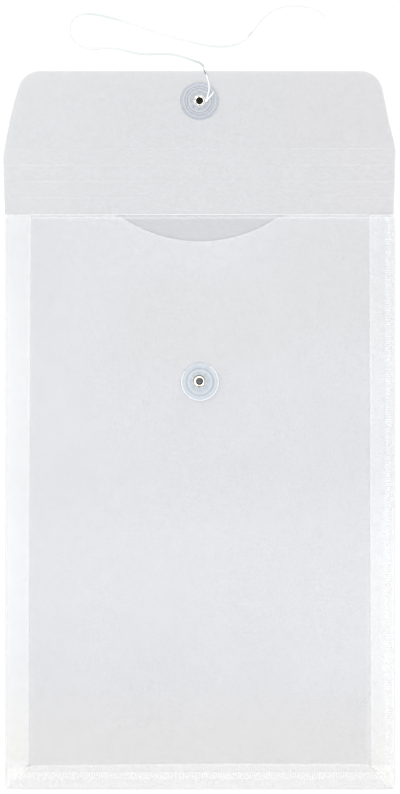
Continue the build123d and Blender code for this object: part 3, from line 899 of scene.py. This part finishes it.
def low_loop(front):
    """Outline of a bottom gusset half, mitred at both ends and bowed along its inner crease."""
    def end(u):
        return XA - (GUSSET_W - u if front else u) - MITRE

    a, b = bow(-70), bow(70)
    if front:
        vs = np.linspace(end(U0 + b), -end(U0 + a), 25)
        return [(GUSSET_W - U0, -end(GUSSET_W - U0)), (GUSSET_W - U0, end(GUSSET_W - U0))] + [(U0 + bow(v), v) for v in vs]
    vs = np.linspace(-end(GUSSET_W - a), end(GUSSET_W - b), 25)
    return [(U0, -end(U0))] + [(GUSSET_W - bow(v), v) for v in vs] + [(U0, end(U0))]


def bend_line(pts, seed):
    """Rounded inner crease along points in millimetres, a little uneven along its length."""
    k = len(pts)
    fat = [RB * MM * (0.72 if i in (0, k - 1) else 0.992 + 0.008 * math.sin(2.1 * i + seed)) for i in range(k)]
    return tube([np.array(q) * MM for q in pts], fat, 14)


def gusset_wave(seed):
    return lambda u, v: 0.05 * ease(u - U0, 3) * ease(GUSSET_W - u, 3) * math.sin(v / 27 + seed)


for side, sign in (("left", -1), ("right", 1)):
    gb = panel(side + "_gusset_back_film", side_loop(False, sign), side_back(sign),
               GAP / 2, GAP / 2 + T, [M_GUSSET], step=3.3, wave=gusset_wave(sign))
    done(gb, side + "_gusset_back", "film", side + "_gusset_back")
    gf = panel(side + "_gusset_front_film", side_loop(True, sign), side_front(sign),
               GAP / 2, GAP / 2 + T, [M_GUSSET, M_INNER], step=3.3, wave=gusset_wave(sign + 2), rim=0.42, rim_where=lambda u, v, sign=sign: u < U0 + taper(v, sign) + 0.5)
    done(gf, side + "_gusset_front", "film", side + "_gusset_front")
    lo = YA + GUSSET_W + MITRE + 0.15
    vs = [lo, lo + 0.14] + list(np.linspace(lo, G_TOP, 40))[1:-1] + [G_TOP - 0.14, G_TOP]
    crease = make(side + "_inner_crease", *bend_line([(sign * (XA - B_IN + taper(v, sign) * CT), v, ZA + B_UP) for v in vs], 3.3 + sign), [M_BEND], sharp=60)
    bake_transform(crease)
gb = panel("bottom_gusset_back_film", low_loop(False), low_back, GAP / 2, GAP / 2 + T,
           [M_GUSSET], step=3.3, wave=gusset_wave(0.5))
done(gb, "bottom_gusset_back", "film", "bottom_gusset_back")
gf = panel("bottom_gusset_front_film", low_loop(True), low_front, GAP / 2, GAP / 2 + T,
           [M_GUSSET, M_INNER], step=3.3, wave=gusset_wave(2.5), rim=0.42, rim_where=lambda u, v: u < U0 + bow(v) + 0.5)
done(gf, "bottom_gusset_front", "film", "bottom_gusset_front")
e = GUSSET_W + MITRE + 0.15
xs = [-XA + e, -XA + e + 0.14] + list(np.linspace(-XA + e, XA - e, 36))[1:-1] + [XA - e - 0.14, XA - e]
crease = make("bottom_inner_crease", *bend_line([(x, YA + B_IN - bow(x) * CT, ZA + B_UP) for x in xs], 5.1), [M_BEND], sharp=60)
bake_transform(crease)

# front panel with the thumb notch and the rivet hole
NR = (32.0 ** 2 + 9.9 ** 2) / (2 * 9.9)
NC = Y_TOP - 9.9 + NR
NF = 2.5
fx = math.sqrt((NR + NF) ** 2 - (NC - (Y_TOP - NF)) ** 2)


def arc(cx, cy, r, a0, a1, k):
    return [(cx + r * math.cos(a0 + (a1 - a0) * i / k), cy + r * math.sin(a0 + (a1 - a0) * i / k)) for i in range(k + 1)]


turn = math.atan2(NC - (Y_TOP - NF), fx)
right_corner = arc(fx, Y_TOP - NF, NF, math.pi / 2, math.pi - turn, 8)
half = math.atan2(fx, NC - (Y_TOP - NF))
bowl = arc(0, NC, NR, -math.pi / 2 + half, -math.pi / 2 - half, 56)[1:-1]
left_corner = [(-x, y) for x, y in reversed(right_corner)]
front_loop = [(-XA, YA), (XA, YA), (XA, Y_TOP)] + right_corner + bowl + left_corner + [(-XA, Y_TOP)]
hole = [(FRONT_DISC[0] + EYE_OUT * math.cos(a), FRONT_DISC[1] + EYE_OUT * math.sin(a)) for a in np.linspace(0, 2 * math.pi, 29)[:-1]]
front = panel("front_film", front_loop, flat(Z_FB), 0, T, [M_FRONT, M_RIM_FILM], holes=[hole], step=4.0, wave=front_wave,
              rim=lambda u, v: 0.92 if abs(u) > 33.5 else 0.26, rim_where=lambda u, v: v > Y_TOP - 10.6 and (abs(u) < 34 or v > Y_TOP - 1.0))
done(front, "front_panel", "film", "front_panel")
parts = [bead((-XA * MM, YA * MM, ZC * MM), (-XA * MM, Y_TOP * MM, ZC * MM), RB * MM, seed=0.2),
         bead((XA * MM, YA * MM, ZC * MM), (XA * MM, Y_TOP * MM, ZC * MM), RB * MM, seed=1.2)]
folds = make("front_side_folds", *joined(parts), [M_FOLD], sharp=60)
done(folds, "front_panel", "film")
folds = make("front_bottom_fold", *bead((-XA * MM, YA * MM, ZC * MM), (XA * MM, YA * MM, ZC * MM), RB * MM, seed=2.2), [M_FOLD_LOW], sharp=60)
done(folds, "front_panel", "film")

# weld tabs, with the ladder of weld bars pressed into them
yb = YA + 6.9 - RB
LIFT = 0.012
tab = panel("bottom_weld", [(-XA + 1.2, YA), (XA - 1.2, YA), (XA - 3.9, yb), (-XA + 3.9, yb)], flat(Z_FT), LIFT, 0.25, [M_WELD, M_EDGE], step=4.0)
done(tab, "front_panel", "weld", "bottom_weld_tab")
xr = XA - 3.9 + RB
tab = panel("right_weld", [(xr, yb + 0.4), (XA, YA + 1.6), (XA, Y_TOP), (xr, Y_TOP)], flat(Z_FT), LIFT, 0.25, [M_WELD, M_EDGE], step=4.0)
done(tab, "front_panel", "weld", "right_weld_tab")


def bar(cx, cy, lx, ly, z0, z1):
    """One pressed weld bar: a low cushion with cut corners."""
    def ring_at(k, z):
        a, b = lx * k / 2, ly * k / 2
        c = 0.32 * min(a, b)
        return [(cx + x, cy + y, z) for x, y in ((a, -b + c), (a, b - c), (a - c, b), (-a + c, b), (-a, b - c), (-a, -b + c), (-a + c, -b), (a - c, -b))]

    rows = [ring_at(1.0, z0), ring_at(0.94, z0 + 0.6 * (z1 - z0)), ring_at(0.70, z1)]
    verts = [Vector(p) * MM for r in rows for p in r]
    faces = []
    for i in range(2):
        for j in range(8):
            faces.append((i * 8 + j, i * 8 + (j + 1) % 8, (i + 1) * 8 + (j + 1) % 8, (i + 1) * 8 + j))
    faces.append(tuple(reversed(range(8))))
    faces.append(tuple(16 + j for j in range(8)))
    return verts, faces


ZT = Z_FT + 0.25
parts = []
k = 232
for i in range(k):
    y = 115.6 - i * (115.6 + 107.6) / (k - 1)
    parts.append(bar(77.02 + 0.05 * math.sin(1.7 * i), y, 1.80 + 0.10 * math.sin(2.3 * i), 0.50, ZT + 0.006, ZT + 0.075))
ticks = make("right_weld_bars", *joined(parts), [M_TICK], flip=False, sharp=50)
done(ticks, "front_panel", "weld")
parts = []
k = 155
for i in range(k):
    x = -75.3 + i * 150.6 / (k - 1)
    parts.append(bar(x, -112.15 + 0.05 * math.sin(1.9 * i), 0.50, 2.75 + 0.12 * math.sin(2.7 * i), ZT + 0.006, ZT + 0.075))
ticks = make("bottom_weld_bars", *joined(parts), [M_TICK], flip=False, sharp=50)
done(ticks, "front_panel", "weld")

# folded web of film in the two bottom corners, and its diagonal fold line
for side, sign in (("left", -1), ("right", 1)):
    xo, xi = sign * (XA - 0.45), sign * (XA - B_IN + 0.1 + D_LOW)
    yo, yi = YA + 0.45, YA + B_IN - 0.1 - bow(sign * 70) * CT
    xl = sign * (XA - (0.9 if sign < 0 else 2.1))
    web = panel(side + "_corner_web", [(xo, yi), (xi, yi), (xi, yi - 0.45), (xl, yo), (xo, yo)], flat(Z_FB), -0.085, -0.025, [M_WEB], step=2.5)
    done(web, "front_panel", "film")
    ts = np.linspace(0, 1, 16)
    zl = (Z_FB - 0.115) * MM
    line_pts = [np.array(((xi + (xl - xi) * 0.92 * t) * MM, (yi - 0.20 + (yo - yi + 0.20) * 0.92 * t) * MM, zl)) for t in ts]
    fat = [(0.20 if i == 0 else 0.28 if i == 1 else max(0.085, 0.17 - 0.20 * t)) * MM for i, t in enumerate(ts)]
    verts, faces = tube(line_pts, fat, 12)
    verts = [(v[0], v[1], zl + (v[2] - zl) * 0.30) for v in verts]
    fold = make(side + "_corner_fold", verts, faces, [M_EDGE], sharp=60)
    done(fold, "front_panel", "film")

# flap: outline measured along its sides, a little wider towards the scores
LEFT_SIDE = [(-0.1, 79.85), (5.7, 80.03), (13.9, 80.28), (22.1, 80.50), (24.6, 80.36), (26.2, 80.05), (30.3, 79.32), (38.4, 77.75), (46.6, 75.70), (50.7, 74.45), (58.5, 72.15)]
RIGHT_SIDE = [(-0.1, 79.37), (5.7, 79.50), (13.9, 79.80), (22.1, 79.90), (24.6, 80.08), (26.2, 80.06), (30.3, 79.26), (38.4, 77.20), (46.6, 75.58), (50.7, 74.70), (58.5, 73.15)]


def side_at(table, s):
    return float(np.interp(s, [a for a, _ in table], [b for _, b in table]))


def rounded(loop, which, r, k=9):
    """Rounds the named corners of a loop."""
    out = []
    n = len(loop)
    for i, p in enumerate(loop):
        if i not in which:
            out.append(p)
            continue
        p = np.array(p)
        a, b = np.array(loop[i - 1]) - p, np.array(loop[(i + 1) % n]) - p
        a, b = a / np.linalg.norm(a), b / np.linalg.norm(b)
        ang = math.acos(max(-1, min(1, a @ b)))
        d = r / math.tan(ang / 2)
        c = p + (a + b) / np.linalg.norm(a + b) * r / math.sin(ang / 2)
        q0, q1 = p + a * d - c, p + b * d - c
        t0, t1 = math.atan2(q0[1], q0[0]), math.atan2(q1[1], q1[0])
        dt = (t1 - t0 + math.pi) % (2 * math.pi) - math.pi
        out += [tuple(c + r * np.array([math.cos(t0 + dt * j / k), math.sin(t0 + dt * j / k)])) for j in range(k + 1)]
    return out


HC = 0.15
for k in range(4):
    s0, s1 = k * STRIP + HC if k else -0.05, (k + 1) * STRIP - HC
    ss = [s0] + [s for s, _ in LEFT_SIDE if s0 < s < s1] + [s1]
    loop_pts = [(side_at(RIGHT_SIDE, s), s) for s in ss] + [(-side_at(LEFT_SIDE, s), s) for s in reversed(ss)]
    st = panel("flap_strip_film_%d" % (k + 1), loop_pts, on_flap, -RH, RH, [M_FLAP], step=3.35)
    done(st, "flap_strip_%d" % (k + 1), "film", "flap_strip_%d" % (k + 1))
    s = (k + 1) * STRIP
    line_obj = make("flap_score_line_%d" % (k + 1), *bead(on_flap(-side_at(LEFT_SIDE, s), s, 0), on_flap(side_at(RIGHT_SIDE, s), s, 0), RH * MM, seed=float(k)), [M_SCORES[k]], sharp=60)
    done(line_obj, "flap_strip_%d" % (k + 1), "film")
s0 = 4 * STRIP + HC
ss = [s0] + [s for s, _ in LEFT_SIDE if s0 < s <= FLAP_L]
rs = [(side_at(RIGHT_SIDE, s), s) for s in ss]
ls = [(-side_at(LEFT_SIDE, s), s) for s in reversed(ss)]
short = [p for p in rs if p[1] < FLAP_L - 11] + [(side_at(RIGHT_SIDE, FLAP_L), FLAP_L)]
n_right = len(short)
short += [(-side_at(LEFT_SIDE, FLAP_L), FLAP_L)] + [p for p in ls if p[1] < FLAP_L - 11]
tongue_loop = rounded(short, (n_right - 1, n_right), 9.2)
hole = [(FLAP_DISC[0] + EYE_OUT * math.cos(a), FLAP_DISC[1] + EYE_OUT * math.sin(a)) for a in np.linspace(0, 2 * math.pi, 29)[:-1]]
tongue = panel("flap_tongue_film", tongue_loop, on_flap, -RH, RH, [M_FLAP, M_FLAP_RIM], holes=[hole], step=3.6, wave=tongue_wave,
               rim=0.55, rim_where=lambda u, v: v > 4 * STRIP + 1.0)
done(tongue, "flap_tongue", "film", "flap_tongue")


# ------------------------------------------------------------------ discs
def soft_window(x, a, b, w):
    return ease(x - a, w) * ease(b - x, w)


def disc_top(r, t):
    """Outer face, height over the flange's top face. t is the angle in degrees."""
    z = 0.0
    z -= 0.30 * (1 - ease(r - 2.50, 0.16))
    z -= 0.10 * soft_window(r, 2.62, 4.05, 0.12)
    pocket = soft_window(r, 2.86, 3.92, 0.10) * soft_window(abs((t + 22.5) % 45.0 - 22.5), -1.0, 15.5, 2.6)
    z -= 0.20 * pocket
    z -= 0.28 * soft_window(r, 5.18, 5.82, 0.16)
    z += 0.05 * soft_window(r, 7.26, 7.84, 0.16)
    z -= EDGE_R * (1 - math.sqrt(max(0.0, 1 - max(0.0, (r - (DISC_R - EDGE_R)) / EDGE_R) ** 2)))
    return z, pocket


def disc_low(r, t):
    """Film side of the flange, depth into the flange."""
    d = 0.22 * soft_window(r, 4.74, 5.20, 0.14) + 0.22 * soft_window(r, 5.70, 6.20, 0.14) + 0.14 * soft_window(r, 6.86, 7.34, 0.14)
    pocket = soft_window(r, 2.84, 3.90, 0.10) * soft_window(abs((t + 22.5) % 45.0 - 22.5), -1.0, 14.0, 2.6)
    d += 0.34 * pocket
    d += 0.30 * ease(r - (DISC_R - 0.34), 0.34)
    return d, pocket


def front_zone(kind, r, t, p):
    """Finish of the front disc by place: plain, recess, rim, seat, groove or crest. Recess, groove and seat are painted
    shade, the rim's lit stretches a painted highlight, and the crests painted light.
    """
    if kind == "t":
        # painted shadow: the dark seat round the head, wider at the head's nick
        if r < (2.60 if abs(t - 270) < 14 else 2.42):
            return 3
        if r < 3.08:
            return 5
        if p > 0.5:
            # the groove's painted shade is wider on the dimmer side
            return 1
        dim = t > 315 or t < 120
        if (5.22 if dim else 5.34) < r < (5.70 if dim else 5.58):
            return 4
        if 4.80 < r < 5.12:
            return 5
        # painted highlight on the rim's lit stretches, painted light on the rest
        if 7.30 < r < 7.80:
            return 2 if t > 146 or t < 56 else 5
    return 0


def flap_zone(kind, r, t, p):
    """Finish of the flap disc, whose film side is the one that shows through the flap. Pockets, grooves and seat are
    painted shade, ribs and crests painted light, and the rim's lower fringe a painted highlight.
    """
    if kind == "t":
        return 3 if r < 2.60 else 0
    if kind == "l":
        if p > 0.5:
            return 1
        if r < 2.94:
            return 5
        if r < 3.94:
            return 6
        if 4.80 < r < 5.16 or 5.76 < r < 6.16:
            return 4
        if 3.94 < r < 4.80 or 5.16 < r < 5.76 or 6.16 < r < 6.86:
            return 5
        # painted highlight on the rim's lower fringe
        if r > 7.60 and 225 < t % 360 < 330:
            return 2
    return 0


def disc_mesh(name, place, mats, zone, lean=(0.0, 0.0)):
    """Moulded disc: bore, hub, flange with grooves, relief pockets and a rounded rim. The flange is off the bore by lean."""
    zt = HUB_H + DISC_FLANGE
    tops = [BORE_R, 2.0, 2.40, 2.46, 2.52, 2.58, 2.66, 2.74, 2.80, 2.86, 2.91, 2.96, 3.2, 3.45, 3.7, 3.82, 3.87, 3.92, 3.99, 4.06, 4.2, 4.79, 5.1, 5.18, 5.24,
            5.30, 5.36, 5.5, 5.64, 5.70, 5.76, 5.82, 5.9, 6.4, 6.9, 7.20, 7.26, 7.31, 7.36, 7.40, 7.45, 7.53, 7.60, 7.68, 7.75, 7.81, 7.86, 7.89, 7.90]
    lows = [7.90, 7.82, 7.74, 7.66, 7.58, 7.5, 7.36, 7.29, 7.22, 7.1, 6.98, 6.91, 6.84, 6.5, 6.20, 6.14, 6.08, 5.95, 5.82, 5.76, 5.70, 5.4, 5.20, 5.14, 5.06, 4.96, 4.88, 4.80, 4.74,
            4.3, 3.95, 3.90, 3.85, 3.80, 3.6, 3.35, 3.1, 2.94, 2.89, 2.84, 2.5, 2.05, HUB_R]
    k = 128
    verts, tags = [], []
    rows = []
    for r in tops:
        rows.append(("t", r))
    for r in lows:
        rows.append(("l", r))
    rows += [("h", (HUB_R, HUB_H - 0.10)), ("h", (HUB_R, 0.12)), ("h", (HUB_R - 0.03, 0.04)), ("h", (HUB_R - 0.12, 0.0)), ("h", (BORE_R + 0.08, 0.0)), ("h", (BORE_R, 0.08)),
             ("h", (BORE_R, 1.0))]
    for kind, val in rows:
        for j in range(k):
            t = 360.0 * j / k
            if kind == "t":
                z, p = disc_top(val, t)
                rr, zz = val, zt + z
            elif kind == "l":
                d, p = disc_low(val, t)
                rr, zz = val, HUB_H + d
            else:
                (rr, zz), p = val, 0.0
            a = math.radians(t)
            off = 0.0 if kind == "h" else ease(rr - 2.9, 1.2)
            verts.append(place(rr * math.cos(a) + off * lean[0], rr * math.sin(a) + off * lean[1], zz))
            tags.append((kind, val if kind != "h" else val[0], p))
    n = len(rows)
    faces, index = [], []
    for i in range(n):
        for j in range(k):
            q = (i * k + j, i * k + (j + 1) % k, ((i + 1) % n) * k + (j + 1) % k, ((i + 1) % n) * k + j)
            faces.append(q)
            p = sum(tags[x][2] for x in q) / 4
            kind, r = tags[q[0]][0], (tags[q[0]][1] + tags[q[2]][1]) / 2
            index.append(zone(kind, r, 360.0 * (j + 0.5) / k, p))
    return make(name, verts, faces, mats, index, sharp=50)


def at_front(x, y, z):
    return Vector((FRONT_DISC[0] + x, FRONT_DISC[1] + y, Z_FT + SEAT + z)) * MM


def at_flap(x, y, z):
    return on_flap(FLAP_DISC[0] + x, FLAP_DISC[1] - y, -RH - SEAT - z)


fd = disc_mesh("front_button", at_front, [M_DISC, M_POCKET_SHADE, M_RIM, M_SEAT_SHADOW, M_GROOVE_SHADE, M_CREST_LIGHT], front_zone, (0.34, -0.46))
done(fd, "front_disc", "disc", "front_disc")
pd = disc_mesh("flap_button", at_flap, [M_FLAP_DISC, M_FLAP_POCKET_SHADE, M_RIM, M_SEAT_SHADOW, M_FLAP_GROOVE_SHADE, M_FLAP_CREST_LIGHT, M_FLAP_RIB_LIGHT], flap_zone)
done(pd, "flap_disc", "disc", "flap_disc")


# ------------------------------------------------------------------ rivets
def rivet_mesh(name, place, seed, barrel, head_r, shift, edge, nick, roll_r, roll_lip, petal):
    """Hollow rivet: rolled flange on the disc, dark barrel closed by a dark web, clinched and split end on the film.
    The dark barrel and web are painted shade for the shade deep in the hole.

    The head sits off centre, by shift at its lip and by edge at its rim, with a short split at the angle nick.
    One petal of the clinched end is longer."""
    zt = HUB_H + DISC_FLANGE
    zr = -SEAT - T
    lip = 1.40
    k = 120
    rows = []          # (r, z, split amount, material, share of the head's shift, 0 at the lip to 1 at the rim)
    rows += [(EYE_IN, 1.25, 0, 1, 0, 0), (EYE_IN, zt - 0.55, 0, 1, 0, 0), (EYE_IN + 0.03, zt - 0.30, 0, 1, 0.4, 0), (lip, zt - 0.11, 0, 1, 0.8, 0)]
    for a in np.linspace(math.pi, 0, 11)[1:]:             # rolled lip of the head
        rows.append(((lip + head_r) / 2 + (head_r - lip) / 2 * math.cos(a), zt - 0.11 + 0.21 * math.sin(a) ** 0.8, 0, 0, 1, 0.5 + 0.5 * math.cos(a)))
    rows += [(head_r, zt - 0.20, 0, 0, 1, 1), (head_r - 0.1, zt - 0.25, 0, 0, 1, 1), (EYE_OUT, zt - 0.25, 0, 0, 0, 0), (EYE_OUT, zr + 0.0, 0, 0, 0, 0)]
    rows += [(roll_r - 0.08, zr, 1, 2, 0, 0), (roll_r, zr - 0.08, 1, 2, 0, 0)]
    for a in np.linspace(0, math.pi, 10)[1:-1]:
        rows.append(((roll_lip + roll_r) / 2 + (roll_r - roll_lip) / 2 * math.cos(a), zr - 0.10 - 0.17 * math.sin(a) ** 0.8, 0.9 if a < 1.6 else 0, 2, 0, 0))
    rows += [(roll_lip, zr - 0.09, 0, 2, 0, 0), (EYE_IN + 0.03, zr + 0.10, 0, 1, 0, 0), (EYE_IN, zr + 0.35, 0, 1, 0, 0), (EYE_IN, 0.75, 0, 1, 0, 0)]
    verts, faces, index = [], [], []
    for r, z, split, m, off, out in rows:
        for j in range(k):
            a = 2 * math.pi * j / k
            rr = r
            if split:
                wob = 0.5 + 0.5 * math.cos(6 * a + seed + 0.5 * math.sin(2 * a + seed))
                rr = r - split * (0.13 * (1 - wob) ** 3 + 0.04 * math.sin(3 * a + 2 * seed))
                if petal is not None:
                    d = (math.degrees(a) - petal + 180) % 360 - 180
                    rr += split * 1.10 * math.exp(-(d / 7.0) ** 2)
            if off == 1 and r > 1.75:
                d = (math.degrees(a) - nick + 180) % 360 - 180
                rr -= 0.48 * (r - 1.75) / (head_r - 1.75) * math.exp(-(d / 13.0) ** 4)
            dx, dy = (off * (s + (e - s) * out) for s, e in zip(shift, edge))
            verts.append(place(rr * math.cos(a) + dx, rr * math.sin(a) + dy, z))
    n = len(rows)
    for i in range(n - 1):
        m0, m1 = rows[i][3], rows[i + 1][3]
        for j in range(k):
            faces.append((i * k + j, i * k + (j + 1) % k, (i + 1) * k + (j + 1) % k, (i + 1) * k + j))
            index.append(m0 if m0 == m1 else 1 if 1 in (m0, m1) and 0 not in (m0, m1) else max(m0, m1) if 1 not in (m0, m1) else 0)
    # dark web across the barrel, dished on both faces: a dark sheet standing in for the shade deep in the hole (painted
    # shade)
    c_top = len(verts)
    verts.append(place(0, 0, 1.17))
    c_low = len(verts)
    verts.append(place(0, 0, 0.83))
    for j in range(k):
        faces.append((j, (j + 1) % k, c_top))
        index.append(1)
        faces.append(((n - 1) * k + j, (n - 1) * k + (j + 1) % k, c_low))
        index.append(1)
    return make(name, verts, faces, [M_EYELET, barrel, M_ROLL], index, sharp=50)


fe = rivet_mesh("front_rivet", at_front, 0.3, M_BARREL_F, 2.22, (0.18, -0.22), (-0.01, -0.27), -90.0, 2.10, 1.40, None)
done(fe, "front_panel", "eyelet", "front_eyelet")
pe = rivet_mesh("flap_rivet", at_flap, 1.1, M_BARREL, 2.25, (0.0, 0.0), (0.0, 0.0), -60.0, 1.92, 1.45, -132.0)
done(pe, "flap_tongue", "eyelet", "flap_eyelet")
